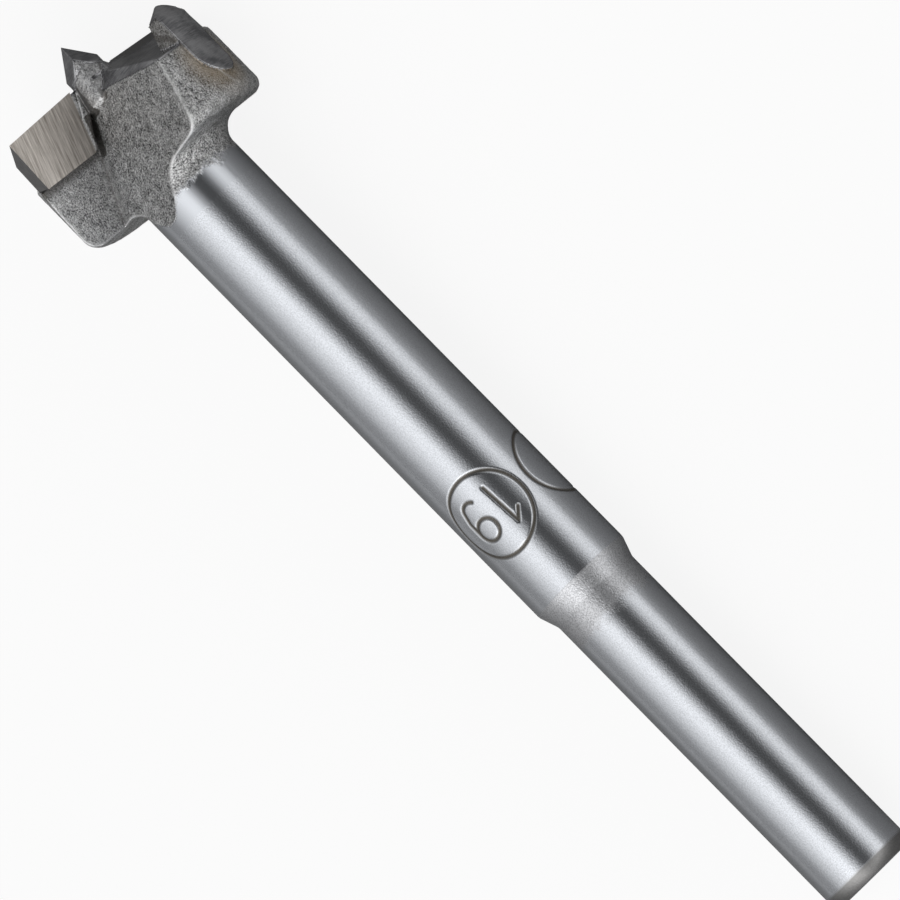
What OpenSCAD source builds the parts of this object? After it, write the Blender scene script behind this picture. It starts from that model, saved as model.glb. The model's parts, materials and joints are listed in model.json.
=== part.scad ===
// Hinge-boring forstner bit: a forged steel body, with its centre point and
// its two scoring spurs ground from the forging, and two brazed carbide
// blades. All lengths are in millimetres.
//
// The bit is drawn upright, with its axis on Z and its centre point up, and
// is then laid on its side as it comes to rest on a table: on the two corners
// of one flute and the end of its shank.

/* [Shank and body] */
// Length from the end of the shank to the centre point
overall_l = 90; // [85:1:120]
// Diameter of the shank that a chuck grips
shank_d = 7.9; // [6:0.1:8.4]
// Length of the shank
shank_l = 30.4; // [22:0.2:40]
// Bevel at the end of the shank, along the axis
end_bevel_l = 1.1; // [0.4:0.1:2]
// Bevel at the end of the shank, across the radius
end_bevel_r = 0.65; // [0.2:0.05:1.2]
// Diameter of the body between the shank and the head
body_d = 9; // [8.6:0.1:10.4]
// Length of the cone that joins the shank to the body
step_l = 1.7; // [0.8:0.1:4]

/* [Head] */
// Diameter of the hole that the bit bores
cutter_d = 19; // [17.5:0.5:22]
// Gap between the steel of the head and the wall of the hole
head_clearance = 0.2; // [0.05:0.05:0.3]
// Length of the head, from its cutting edges to its back
head_l = 10.3; // [9.4:0.1:12]
// Rounding of the back edge of the head
rim_r = 1.1; // [0.4:0.1:1.6]
// Fillet between the back of the head and the body
root_r = 1.3; // [0.8:0.1:2.4]
// Slope of the ground top behind each cutting edge
relief_angle = 25; // [15:1:32]
// Direction that the slanted back face of each wing looks to
back_face_turn = 42; // [36:0.5:48]
// Slope of that back face against the axis
back_face_slope = 15.4; // [13:0.2:17]
// Distance from the axis to that face, at the height of the cutting edges
back_face_offset = 0.75; // [0.6:0.05:1]
// Direction that the narrow wall beside each blade looks to
wall_turn = 32; // [26:1:36]
// Slope of that wall against the axis
wall_slope = 19.2; // [18:0.2:21]
// Distance from the axis to that wall, at the height of the cutting edges
wall_offset = 0.7; // [0.5:0.05:0.9]

/* [Centre point] */
// Diameter of the neck under the point
point_d = 3.3; // [2.6:0.1:4]
// Height of the point above the cutting edges
point_h = 3.1; // [2.4:0.1:3.8]
// Slope of the four ground facets of the point against the axis
facet_slope = 30; // [24:1:40]
// Direction that each facet looks to, from the middle of a wing
facet_turn = 34; // [30:1:45]
// Height of the flare at the foot of the neck
neck_flare = 1.1; // [0.3:0.1:1.5]

/* [Blades] */
// Fall of a cutting edge from the axis outwards
edge_slope = 3; // [0:0.5:5]
// Angle from the middle of a wing to its cutting edge
blade_turn = 31; // [26:0.5:36]
// Distance from the axis to the inner end of a cutting edge
blade_inner_r = 2.3; // [1.9:0.1:3]
// Height of a blade down its front face
blade_h = 4.9; // [3.5:0.1:6]
// Thickness of a blade
blade_t = 2; // [1.6:0.1:2.4]
// Width of the lip along the inner end of a blade, on average
lip_w = 0.7; // [0.7:0.05:0.9]
// Distance that the lip stays behind the front face of the blade
lip_setback = 0.2; // [0.1:0.05:0.5]
// Depth of the forged face below a blade, behind the front of the blade
seat_depth = 1.2; // [0.9:0.1:1.4]
// Lean of the front face of a blade against the axis
rake_angle = 19; // [10:1:24]
// Slant of the inner end of a blade
blade_slant = 15; // [5:1:20]
// Clearance angle on the outer end of a blade
side_relief = 10; // [4:1:14]
// Clearance down the outer end of a blade
side_taper = 2.5; // [0.5:0.5:4]

/* [Spurs] */
// Angle from the middle of a wing back to the middle of its spur
spur_turn = 32.4; // [30:0.2:38]
// Width of a spur round the head
spur_w = 3.7; // [2.8:0.1:4.2]
// Height of a spur
spur_h = 7.5; // [6.5:0.1:8.5]
// Rounding of the foot of a spur on its leading side
spur_foot_r = 1.2; // [0.6:0.1:1.8]
// How far the tip of a spur stands above the outer corners of the blades
spur_lead = -0.2; // [-0.4:0.1:0.6]
// Height of the ground gable at the top of a spur
spur_gable = 1; // [0.5:0.1:1.6]
// Thickness of a spur at its tip
spur_tip_t = 0.2; // [0.1:0.05:0.4]
// Thickness of a spur below the bevel on its inside
spur_t = 1.6; // [1.2:0.1:2.2]
// Height of the bevel on the inside of a spur
inner_bevel_h = 2.6; // [1.6:0.1:3.4]
// Height of the bevel on the outside of its tip
outer_bevel_h = 1.5; // [0.6:0.1:2.2]
// Depth of the bevel on the outside of its tip
outer_bevel = 0.7; // [0.2:0.05:0.8]
// Angle from the middle of a wing back to the middle of its rim shelf
shelf_turn = -12; // [-20:1:-6]
// Depth of the shelf from the cutting radius
shelf_w = 1.8; // [1:0.1:2.4]
// Height of the cutting edges above the shelf
shelf_drop = 3.9; // [3:0.1:4.5]
// Width at the ground top of the ramp behind a spur
ramp_w = 0.4; // [0.2:0.1:1.5]

/* [Hidden] */

$fn = 96;
steel = [0.62, 0.63, 0.64];
carbide = [0.55, 0.52, 0.48];

// Heights on the axis of the upright bit
edge_z = overall_l - point_h;
back_z = edge_z - head_l;

// Radii
shank_r = shank_d / 2;
end_face_r = shank_r - end_bevel_r;
body_r = body_d / 2;
cutter_r = cutter_d / 2;
head_r = cutter_r - head_clearance;
neck_r = point_d / 2;

// Length of a cutting edge from the axis, and the height of the spur tips
edge_l = cutter_r / cos(edge_slope);
spur_tip_z = edge_z - cutter_r * tan(edge_slope) + spur_lead;

// Length that is longer than any cut through the head
reach = 4 * cutter_d;

// Turn of each of the two wings about the axis
WING_1 = 180;
WING_2 = 0;

// Back corner of a wing, where its slanted back face runs out low on the
// rounded back edge of the head
rim_contact = 26;
back_corner_z = back_z + rim_r * (1 - sin(rim_contact));
back_corner_r = head_r - rim_r * (1 - cos(rim_contact));
back_corner_gap = back_face_offset + (edge_z - back_corner_z) * tan(back_face_slope);
back_corner_turn = 90 - back_face_turn + asin(back_corner_gap / back_corner_r);

// The bit rests on the blade corner of one wing, the back corner of the other
// and the bevelled end of its shank: the plane through the two corners that
// just touches the round of the shank
blade_corner_z = edge_z - cutter_r * tan(edge_slope);
blade_corner_lift = blade_corner_z - end_bevel_l;
back_corner_lift = back_corner_z - end_bevel_l;
blade_corner_share = cutter_r / blade_corner_lift;
back_corner_share = back_corner_r / back_corner_lift;
lean_x = blade_corner_share * cos(blade_turn) + back_corner_share * cos(back_corner_turn);
lean_y = blade_corner_share * sin(blade_turn) - back_corner_share * sin(back_corner_turn);
lean = shank_r * (1 / blade_corner_lift - 1 / back_corner_lift) / norm([lean_x, lean_y]);
rest_turn = atan2(lean_y, lean_x) + acos(lean);
rest_tilt = atan((cutter_r * cos(rest_turn - blade_turn) - shank_r) / blade_corner_lift);
rest_x = (overall_l * cos(rest_tilt) - end_face_r * sin(rest_tilt)) / 2;
rest_z = shank_r * cos(rest_tilt) - end_bevel_l * sin(rest_tilt);

// Lays the upright bit on the table, with one flute up and one down
module laid_down() {
    translate([-rest_x, 0, rest_z])
        rotate([0, 90 - rest_tilt, 0])
            rotate([0, 0, -rest_turn])
                children();
}

// All space on the side that a plane looks to, given by the turn of the
// plane's direction about the axis, its rise above the level, and a point
module side_of_plane(turn, rise, point) {
    translate(point)
        rotate([0, 90 - rise, turn])
            translate([-reach / 2, -reach / 2, 0])
                cube(reach);
}

// Stands a form at the cutting edge of the wing at turn 0, with its x outwards
// along the edge and its y ahead of it
module at_edge() {
    rotate([0, 0, blade_turn])
        translate([0, 0, edge_z])
            rotate([0, edge_slope, 0])
                children();
}

// Half outline of the turned form: shank, step, body and round head blank
module turned_outline() {
    polygon([
        [0, 0],
        [end_face_r, 0],
        [shank_r, end_bevel_l],
        [shank_r, shank_l],
        [body_r, shank_l + step_l],
        [body_r, edge_z],
        [0, edge_z],
    ]);
    difference() {
        translate([0, back_z])
            square([head_r, head_l]);
        translate([head_r - rim_r, back_z])
            difference() {
                square(rim_r);
                translate([0, rim_r])
                    circle(rim_r);
            }
    }
    translate([body_r, back_z - root_r])
        difference() {
            square(root_r);
            translate([root_r, 0])
                circle(root_r);
        }
}

// Space in front of the slanted back face of the wing at turn 0
module back_face_cut() {
    rotate([0, 0, 180 + back_face_turn])
        side_of_plane(0, back_face_slope, [back_face_offset, 0, edge_z]);
}

// Space in front of the narrow wall between that face and the next blade
module wall_cut() {
    rotate([0, 0, 180 + wall_turn])
        side_of_plane(0, wall_slope, [wall_offset, 0, edge_z]);
}

// Space in front of the blade of wing 1, from some depth behind its front face
module blade_front_cut(depth) {
    rotate([0, 0, WING_1])
        at_edge()
            rotate([-rake_angle, 0, 0])
                translate([-reach / 2, -depth, -reach / 2])
                    cube(reach);
}

// Narrow lip of the seat along the inner end of the blade of wing 1, wider at
// the top, where it joins the neck
module seat_lip() {
    lean = blade_h * tan(blade_slant);
    rotate([0, 0, WING_1])
        at_edge()
            translate([blade_inner_r, 0, 0])
                rotate([90 - rake_angle, 0, 0])
                    translate([0, 0, lip_setback])
                        linear_extrude(blade_t)
                            polygon([
                                [-2 * lip_w, blade_t],
                                [0, blade_t],
                                [0, 0],
                                [lean, -blade_h],
                                [lean - lip_w / 2, -blade_h],
                                [lean / 2 - 1.6 * lip_w, -blade_h / 2],
                                [-2 * lip_w, 0],
                            ]);
}

// One flute, between the blade of wing 1 and the back face of wing 2
module flute() {
    difference() {
        intersection() {
            blade_front_cut(seat_depth);
            union() {
                back_face_cut();
                wall_cut();
            }
        }
        seat_lip();
    }
}

// Space above the ground top behind the cutting edge of the wing at turn 0
module above_ground_top() {
    at_edge()
        rotate([relief_angle, 0, 0])
            translate([-reach / 2, -reach / 2, 0])
                cube(reach);
}

// The part of that space over the wing itself
module top_cut() {
    intersection() {
        above_ground_top();
        rotate([0, 0, (blade_turn - back_corner_turn) / 2])
            translate([0, -reach / 2, 0])
                cube([reach, reach, 2 * overall_l]);
    }
}

// Space above the level shelf on the rim ahead of the spur of the wing at turn 0
module above_rim_shelf() {
    rotate([0, 0, shelf_turn])
        translate([cutter_r - shelf_w, -reach / 2, edge_z - shelf_drop])
            cube(reach);
}

// Neck and four-sided ground tip, before the flute walls trim it
module centre_point() {
    difference() {
        union() {
            translate([0, 0, back_z])
                cylinder(h = overall_l - back_z, r = neck_r);
            translate([0, 0, edge_z - 2 * neck_flare])
                cylinder(h = 2 * neck_flare, r1 = neck_r + neck_flare, r2 = neck_r);
        }
        for (wing = [WING_1, WING_2], side = [-1, 1])
            side_of_plane(wing + side * facet_turn, facet_slope, [0, 0, overall_l]);
    }
}

// Face of a blade from its cutting edge down to a level foot, with its inner
// end at x = 0; spare lengthens it past the edge and past its outer end
module blade_outline(spare = 0) {
    blade_l = edge_l - blade_inner_r;
    foot_rise = tan(edge_slope);
    polygon([
        [0, spare],
        [0, 0],
        [blade_h * tan(blade_slant), -blade_h],
        [blade_l + spare, (blade_l + spare) * foot_rise - blade_h],
        [blade_l + spare, 0],
        [blade_l + spare, spare],
    ]);
}

// Plate of the blade at turn 0, whose front face leans back under its edge
module blade_plate(spare = 0) {
    at_edge()
        translate([blade_inner_r, 0, 0])
            rotate([90 - rake_angle, 0, 0])
                linear_extrude(blade_t)
                    blade_outline(spare);
}

// Carbide blade: the plate with its top and its outer end ground away
module cutting_blade() {
    difference() {
        blade_plate(blade_t);
        above_ground_top();
        at_edge()
            translate([edge_l, 0, 0])
                rotate([0, side_taper, -side_relief])
                    translate([0, -reach / 2, -reach / 2])
                        cube(reach);
    }
}

// Outside of a spur, seen from outside the head with its leading side to the
// right: a round foot of two arcs, straight sides, and a gable with its tip at
// the origin, straight on the back side and curved on the leading side
module spur_outline() {
    half_w = spur_w / 2;
    big_foot_r = spur_w - spur_foot_r;
    foot_x = half_w - spur_foot_r;
    shoulder_r = (half_w * half_w + spur_gable * spur_gable) / (2 * spur_gable);
    intersection() {
        translate([foot_x, big_foot_r - spur_h])
            circle(big_foot_r);
        translate([-half_w, -spur_h])
            square([foot_x + half_w, big_foot_r]);
    }
    intersection() {
        translate([foot_x, spur_foot_r - spur_h])
            circle(spur_foot_r);
        translate([foot_x, -spur_h])
            square([spur_foot_r, spur_foot_r]);
    }
    polygon([
        [half_w, -spur_gable],
        [0, 0],
        [-half_w, -spur_gable],
        [-half_w, big_foot_r - spur_h],
        [foot_x, big_foot_r - spur_h],
        [foot_x, spur_foot_r - spur_h],
        [half_w, spur_foot_r - spur_h],
    ]);
    intersection() {
        translate([0, -shoulder_r])
            circle(shoulder_r);
        translate([0, -spur_gable])
            square([half_w, spur_gable]);
    }
}

// Forged ramp that rises to the back side of a spur
module ramp_outline() {
    half_w = spur_w / 2;
    polygon([
        [0, -spur_gable],
        [-half_w, -spur_gable],
        [-half_w - ramp_w, -spur_h / 2],
        [-half_w - ramp_w, -spur_h + spur_foot_r],
        [0, -spur_h + spur_foot_r],
    ]);
}

// Stands a drawing up at the spur of the wing at turn 0, facing outwards, with
// its x towards the leading side and its y up from the tip of the spur
module on_spur() {
    rotate([0, 0, -spur_turn])
        translate([0, 0, spur_tip_z])
            rotate([90, 0, 90])
                linear_extrude(reach)
                    children();
}

// Ring that the spurs are cut from, bevelled to a thin tip
module spur_ring(outer_r) {
    tip_r = cutter_r - outer_bevel;
    rotate_extrude()
        intersection() {
            polygon([
                [cutter_r - spur_t, back_z + rim_r],
                [cutter_r, back_z + rim_r],
                [cutter_r, spur_tip_z - outer_bevel_h],
                [tip_r, spur_tip_z],
                [tip_r - spur_tip_t, spur_tip_z],
                [cutter_r - spur_t, spur_tip_z - inner_bevel_h],
            ]);
            square([outer_r, overall_l]);
        }
}

// Spur of the wing at turn 0, with the ramp behind it
module scoring_spur() {
    intersection() {
        on_spur()
            spur_outline();
        spur_ring(cutter_r);
    }
    intersection() {
        on_spur()
            ramp_outline();
        spur_ring(head_r);
    }
}

// Forged and ground steel in one piece, with seats for the two blades
module steel_form() {
    difference() {
        union() {
            difference() {
                rotate_extrude()
                    turned_outline();
                for (wing = [WING_1, WING_2])
                    rotate([0, 0, wing])
                        top_cut();
                for (wing = [WING_1, WING_2])
                    rotate([0, 0, wing]) {
                        flute();
                        above_rim_shelf();
                    }
            }
            centre_point();
            for (wing = [WING_1, WING_2])
                rotate([0, 0, wing])
                    difference() {
                        scoring_spur();
                        back_face_cut();
                    }
        }
        for (wing = [WING_1, WING_2])
            rotate([0, 0, wing]) {
                intersection() {
                    wall_cut();
                    blade_front_cut(0);
                }
                blade_plate(reach);
            }
    }
}

module forged_body() {
    color(steel)
        laid_down()
            steel_form();
}

module cutting_blade_1() {
    color(carbide)
        laid_down()
            rotate([0, 0, WING_1])
                cutting_blade();
}

module cutting_blade_2() {
    color(carbide)
        laid_down()
            rotate([0, 0, WING_2])
                cutting_blade();
}

forged_body();
cutting_blade_1();
cutting_blade_2();
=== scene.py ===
"""Looks of a hinge-boring forstner bit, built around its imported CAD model.

The CAD solid of the steel is shown as two pieces: the head, with the skin that
the forging die and the grinding wheel left on it, and the turned and polished
body with its engraved size mark. The carbide blades are the CAD nodes.

Lengths are in millimetres in the upright drawing frame of the bit, which has
its axis on Z, the end of the shank at zero and the centre point up. A piece is
moved to the row frame, in metres, as the last step of its making.
"""

from __future__ import annotations

import json
import logging
import math
from dataclasses import dataclass
from enum import Enum
from typing import Any, Iterable

import bmesh
import bpy
from mathutils import Matrix, Vector, noise

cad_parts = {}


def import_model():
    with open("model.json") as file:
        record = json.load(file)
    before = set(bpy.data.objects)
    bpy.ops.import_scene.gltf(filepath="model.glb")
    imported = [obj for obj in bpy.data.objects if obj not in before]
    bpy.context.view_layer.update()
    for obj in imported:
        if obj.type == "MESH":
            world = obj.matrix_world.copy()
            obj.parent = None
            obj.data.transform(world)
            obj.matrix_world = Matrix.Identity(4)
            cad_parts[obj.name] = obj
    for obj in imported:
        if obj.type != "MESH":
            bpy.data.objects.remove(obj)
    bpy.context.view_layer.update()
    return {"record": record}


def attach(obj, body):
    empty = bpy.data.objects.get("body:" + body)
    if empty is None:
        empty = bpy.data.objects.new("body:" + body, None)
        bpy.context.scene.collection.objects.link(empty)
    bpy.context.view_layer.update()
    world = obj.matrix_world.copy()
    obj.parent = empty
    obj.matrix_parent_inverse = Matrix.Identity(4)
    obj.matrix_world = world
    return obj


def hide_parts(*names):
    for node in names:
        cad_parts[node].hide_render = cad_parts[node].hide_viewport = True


LOG = logging.getLogger("forstner_bit")

Span = tuple[float, float]

MM = 0.001
BODY = "root"
STEEL_NODE = "forged_body"
BLADE_NODES = ("cutting_blade_1", "cutting_blade_2")
BODY_R = 4.5
HEAD_Z = 72.4
EDGE_Z = 86.9
END_BEVEL_L = 1.1
MERGE_GAP = 1e-4

# Marks on the points of the head, and the ends of the last one, which sets painted shade
# in creases and a painted highlight on ridges.
HEAD_MARKS = ("ground", "braze", "polish", "bend")
CREASE, RIDGE = -1.0, 1.0

# Sockets of a Mix node for colours: its two inputs and its result.
MIX_FIRST, MIX_SECOND, MIX_RESULT = 6, 7, 2


class Wing(Enum):
    """The two wings of the head, by their turn about the axis in degrees."""

    FIRST = 180.0
    SECOND = 0.0


def linear(code: str) -> tuple[float, float, float, float]:
    """Turns an sRGB hex value into a linear colour.

    Args:
        code: Six hex digits, with or without a leading hash.

    Returns:
        Red, green, blue and an alpha of one.
    """
    digits = code.lstrip("#")
    shares = [int(digits[i : i + 2], 16) / 255 for i in (0, 2, 4)]
    bent = [s / 12.92 if s <= 0.04045 else ((s + 0.055) / 1.055) ** 2.4 for s in shares]
    return bent[0], bent[1], bent[2], 1.0


def feed(
    tree: bpy.types.NodeTree, node: bpy.types.Node, inputs: dict[Any, Any]
) -> None:
    """Links or sets the inputs of a node.

    Args:
        tree: The node tree that holds the node.
        node: The node.
        inputs: Input name or number to a socket to link or a value to set.
    """
    for key, value in inputs.items():
        if isinstance(value, bpy.types.NodeSocket):
            tree.links.new(value, node.inputs[key])
        else:
            node.inputs[key].default_value = value


def add_node(
    tree: bpy.types.NodeTree,
    kind: str,
    inputs: dict[Any, Any] | None = None,
    **settings: Any,
) -> bpy.types.Node:
    """Adds a node with its settings, and links or sets its inputs.

    Args:
        tree: The node tree that takes the node.
        kind: Blender's name for the node's type.
        inputs: Input name or number to a socket to link or a value to set.
        settings: Attributes of the node.

    Returns:
        The new node.
    """
    node = tree.nodes.new(kind)
    for name, value in settings.items():
        setattr(node, name, value)
    feed(tree, node, inputs or {})
    return node


def new_metal(name: str) -> bpy.types.Material:
    """Makes a bare metal.

    Args:
        name: Name of the material.

    Returns:
        The material, with nodes.
    """
    made = bpy.data.materials.new(name)
    made.use_nodes = True
    feed(made.node_tree, made.node_tree.nodes["Principled BSDF"], {"Metallic": 1.0})
    return made


def smooth_step(low: float, high: float, value: float) -> float:
    """Rises smoothly from 0 at low to 1 at high."""
    share = min(1.0, max(0.0, (value - low) / (high - low)))
    return share * share * (3 - 2 * share)


def within(value: float, span: Span) -> bool:
    """Says if a value lies between the ends of a span."""
    return span[0] < value < span[1]


def lathe(outline: Iterable[Span], steps: int) -> bmesh.types.BMesh:
    """Spins an outline round the axis.

    Args:
        outline: Radius and height of each ring.
        steps: Number of steps in the full turn.

    Returns:
        The turned form.
    """
    form = bmesh.new()
    ring = [form.verts.new((radius, 0.0, height)) for radius, height in outline]
    line = [form.edges.new(pair) for pair in zip(ring, ring[1:])]
    bmesh.ops.spin(
        form,
        geom=[*ring, *line],
        cent=(0, 0, 0),
        axis=(0, 0, 1),
        angle=2 * math.pi,
        steps=steps,
        use_merge=True,
    )
    bmesh.ops.remove_doubles(form, verts=form.verts, dist=MERGE_GAP)
    return form


def place_object(name: str, form: bmesh.types.BMesh) -> bpy.types.Object:
    """Puts a form in the scene.

    Args:
        name: Name of the object and its mesh.
        form: The mesh, which is freed.

    Returns:
        The object, at the origin.
    """
    mesh = bpy.data.meshes.new(name)
    form.to_mesh(mesh)
    form.free()
    made = bpy.data.objects.new(name, mesh)
    bpy.context.scene.collection.objects.link(made)
    return made


@dataclass(frozen=True)
class Lie:
    """How the upright bit lies in the row frame.

    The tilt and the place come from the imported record's shank mount.
    """

    record: dict[str, Any]
    rest_turn: float = 69.9585

    @property
    def axis(self) -> Vector:
        """Direction from the shank to the point, in the row frame."""
        return -Vector(self.record["mounts"][0]["axis"]).normalized()

    @property
    def rotation(self) -> Matrix:
        """Turn from the upright frame to the row frame."""
        tilt = math.asin(self.axis.z)
        lean = Matrix.Rotation(math.pi / 2 - tilt, 4, "Y")
        return lean @ Matrix.Rotation(-math.radians(self.rest_turn), 4, "Z")

    @property
    def origin(self) -> Vector:
        """Centre of the shank's end face, in the row frame."""
        mount = self.record["mounts"][0]
        back = mount["dims"]["length_mm"] / 2 + END_BEVEL_L
        return Vector(mount["pos_m"]) - self.axis * back * MM

    @property
    def matrix(self) -> Matrix:
        """Upright millimetres to row metres."""
        return Matrix.Translation(self.origin) @ self.rotation @ Matrix.Scale(MM, 4)

    def coordinates(self, tree: bpy.types.NodeTree) -> bpy.types.NodeSocket:
        """Gives a material upright millimetres, from Object coordinates.

        Args:
            tree: The material's nodes.

        Returns:
            The place of the shaded point.
        """
        place = add_node(tree, "ShaderNodeTexCoord")
        upright = add_node(
            tree,
            "ShaderNodeMapping",
            {
                "Vector": place.outputs["Object"],
                "Location": self.origin,
                "Rotation": self.rotation.to_euler(),
                "Scale": (MM, MM, MM),
            },
            vector_type="TEXTURE",
        )
        return upright.outputs["Vector"]

    def piece(
        self, name: str, form: bmesh.types.BMesh, finish: bpy.types.Material
    ) -> bpy.types.Object:
        """Makes a steel piece of an upright form and sets it on the bit.

        Args:
            name: Name of the piece.
            form: The mesh in upright millimetres, which is freed.
            finish: The material of the piece.

        Returns:
            The object, which rides on the bit in place of the CAD solid.
        """
        bmesh.ops.transform(form, matrix=self.matrix, verts=form.verts)
        for face in form.faces:
            face.smooth = True
        made = place_object(name, form)
        made.data.materials.append(finish)
        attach(made, BODY)
        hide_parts(STEEL_NODE)
        LOG.info("%s: %d faces", name, len(made.data.polygons))
        return made


@dataclass(frozen=True)
class PolishedSteel:
    """Tool steel, ground round and then polished along its length.

    It mirrors the soft boxes in long bands. Fine pits from the blank stay in
    it, and the band at the step keeps the dull grain of the forging. That band
    has a crisp border at the body and a ragged one on the shank.
    """

    colour: str = "#d5d8dd"
    groove_colour: str = "#6e6a64"
    grain_colour: str = "#d4d5d8"
    roughness: float = 0.17
    grain_roughness: float = 0.36
    groove_roughness: float = 0.35
    pit_mm: float = 0.13
    pit_depth: float = 0.018
    grain_mm: float = 0.13
    grain_depth: float = 0.03
    speck_mm: float = 0.1
    speck_span: Span = (0.3, 0.62)
    speck_dark: float = 0.4
    body_specks: float = 0.3
    band_specks: float = 0.7
    band_z: Span = (28.3, 32.1)
    crisp_half: float = 0.05
    ragged_half: float = 0.4
    ragged_mm: float = 1.0
    ragged_rise: float = 3.0

    def material(self, lie: Lie) -> bpy.types.Material:
        """Makes the material.

        Args:
            lie: Gives the upright coordinates.

        Returns:
            The polished steel.
        """
        made = new_metal("polished_tool_steel")
        tree = made.node_tree
        place = lie.coordinates(tree)
        mark = add_node(tree, "ShaderNodeAttribute", attribute_name="groove")
        groove = mark.outputs["Fac"]
        band = self.band(tree, place)
        pits, grain, fine = (
            add_node(
                tree,
                "ShaderNodeTexNoise",
                {"Vector": place, "Scale": 1 / size, "Detail": detail},
            ).outputs["Fac"]
            for size, detail in (
                (self.pit_mm, 2.0),
                (self.grain_mm, 4.0),
                (self.speck_mm, 1.0),
            )
        )
        rough_band, specks = (
            add_node(
                tree,
                "ShaderNodeMapRange",
                {"Value": band, "To Min": on_body, "To Max": on_band},
            ).outputs[0]
            for on_body, on_band in (
                (self.roughness, self.grain_roughness),
                (self.body_specks, self.band_specks),
            )
        )
        low, high = self.speck_span
        speck = add_node(
            tree,
            "ShaderNodeMapRange",
            {"Value": fine, "From Min": low, "From Max": high, "To Min": self.speck_dark},
        )
        tone = linear(self.colour)
        for share, colour, way in (
            (band, linear(self.grain_colour), "MIX"),
            (groove, linear(self.groove_colour), "MIX"),
            (specks, speck.outputs[0], "MULTIPLY"),
        ):
            tone = add_node(
                tree,
                "ShaderNodeMix",
                {"Factor": share, MIX_FIRST: tone, MIX_SECOND: colour},
                data_type="RGBA",
                blend_type=way,
            ).outputs[MIX_RESULT]
        rough = add_node(
            tree,
            "ShaderNodeMath",
            {0: groove, 1: self.groove_roughness, 2: rough_band},
            operation="MULTIPLY_ADD",
        )
        grain_height = add_node(
            tree, "ShaderNodeMath", {0: grain, 1: band}, operation="MULTIPLY"
        )
        pitted = add_node(
            tree,
            "ShaderNodeBump",
            {"Strength": 0.5, "Distance": self.pit_depth * MM, "Height": pits},
        )
        grained = add_node(
            tree,
            "ShaderNodeBump",
            {
                "Strength": 0.6,
                "Distance": self.grain_depth * MM,
                "Height": grain_height.outputs[0],
                "Normal": pitted.outputs[0],
            },
        )
        feed(
            tree,
            tree.nodes["Principled BSDF"],
            {
                "Base Color": tone,
                "Roughness": rough.outputs[0],
                "Normal": grained.outputs[0],
            },
        )
        return made

    def band(
        self, tree: bpy.types.NodeTree, place: bpy.types.NodeSocket
    ) -> bpy.types.NodeSocket:
        """Finds the share of forged grain by the height on the axis.

        Args:
            tree: The material's nodes.
            place: The upright coordinates.

        Returns:
            The share, 1 in the band at the step.
        """
        height = add_node(tree, "ShaderNodeSeparateXYZ", {0: place}).outputs["Z"]
        ragged = add_node(
            tree,
            "ShaderNodeTexNoise",
            {
                "Vector": place,
                "Scale": 1 / self.ragged_mm,
                "Detail": 6.0,
                "Roughness": 0.7,
            },
        )
        wavy = add_node(
            tree,
            "ShaderNodeMath",
            {0: ragged.outputs["Fac"], 1: self.ragged_rise, 2: height},
            operation="MULTIPLY_ADD",
        )
        low, high = self.band_z
        start = low + self.ragged_rise / 2
        rise, fall = (
            add_node(
                tree,
                "ShaderNodeMapRange",
                {"Value": level, "From Min": border - half, "From Max": border + half},
            ).outputs[0]
            for level, border, half in (
                (wavy.outputs[0], start, self.ragged_half),
                (height, high, -self.crisp_half),
            )
        )
        both = add_node(
            tree, "ShaderNodeMath", {0: rise, 1: fall}, operation="MULTIPLY"
        )
        return both.outputs[0]


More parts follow.
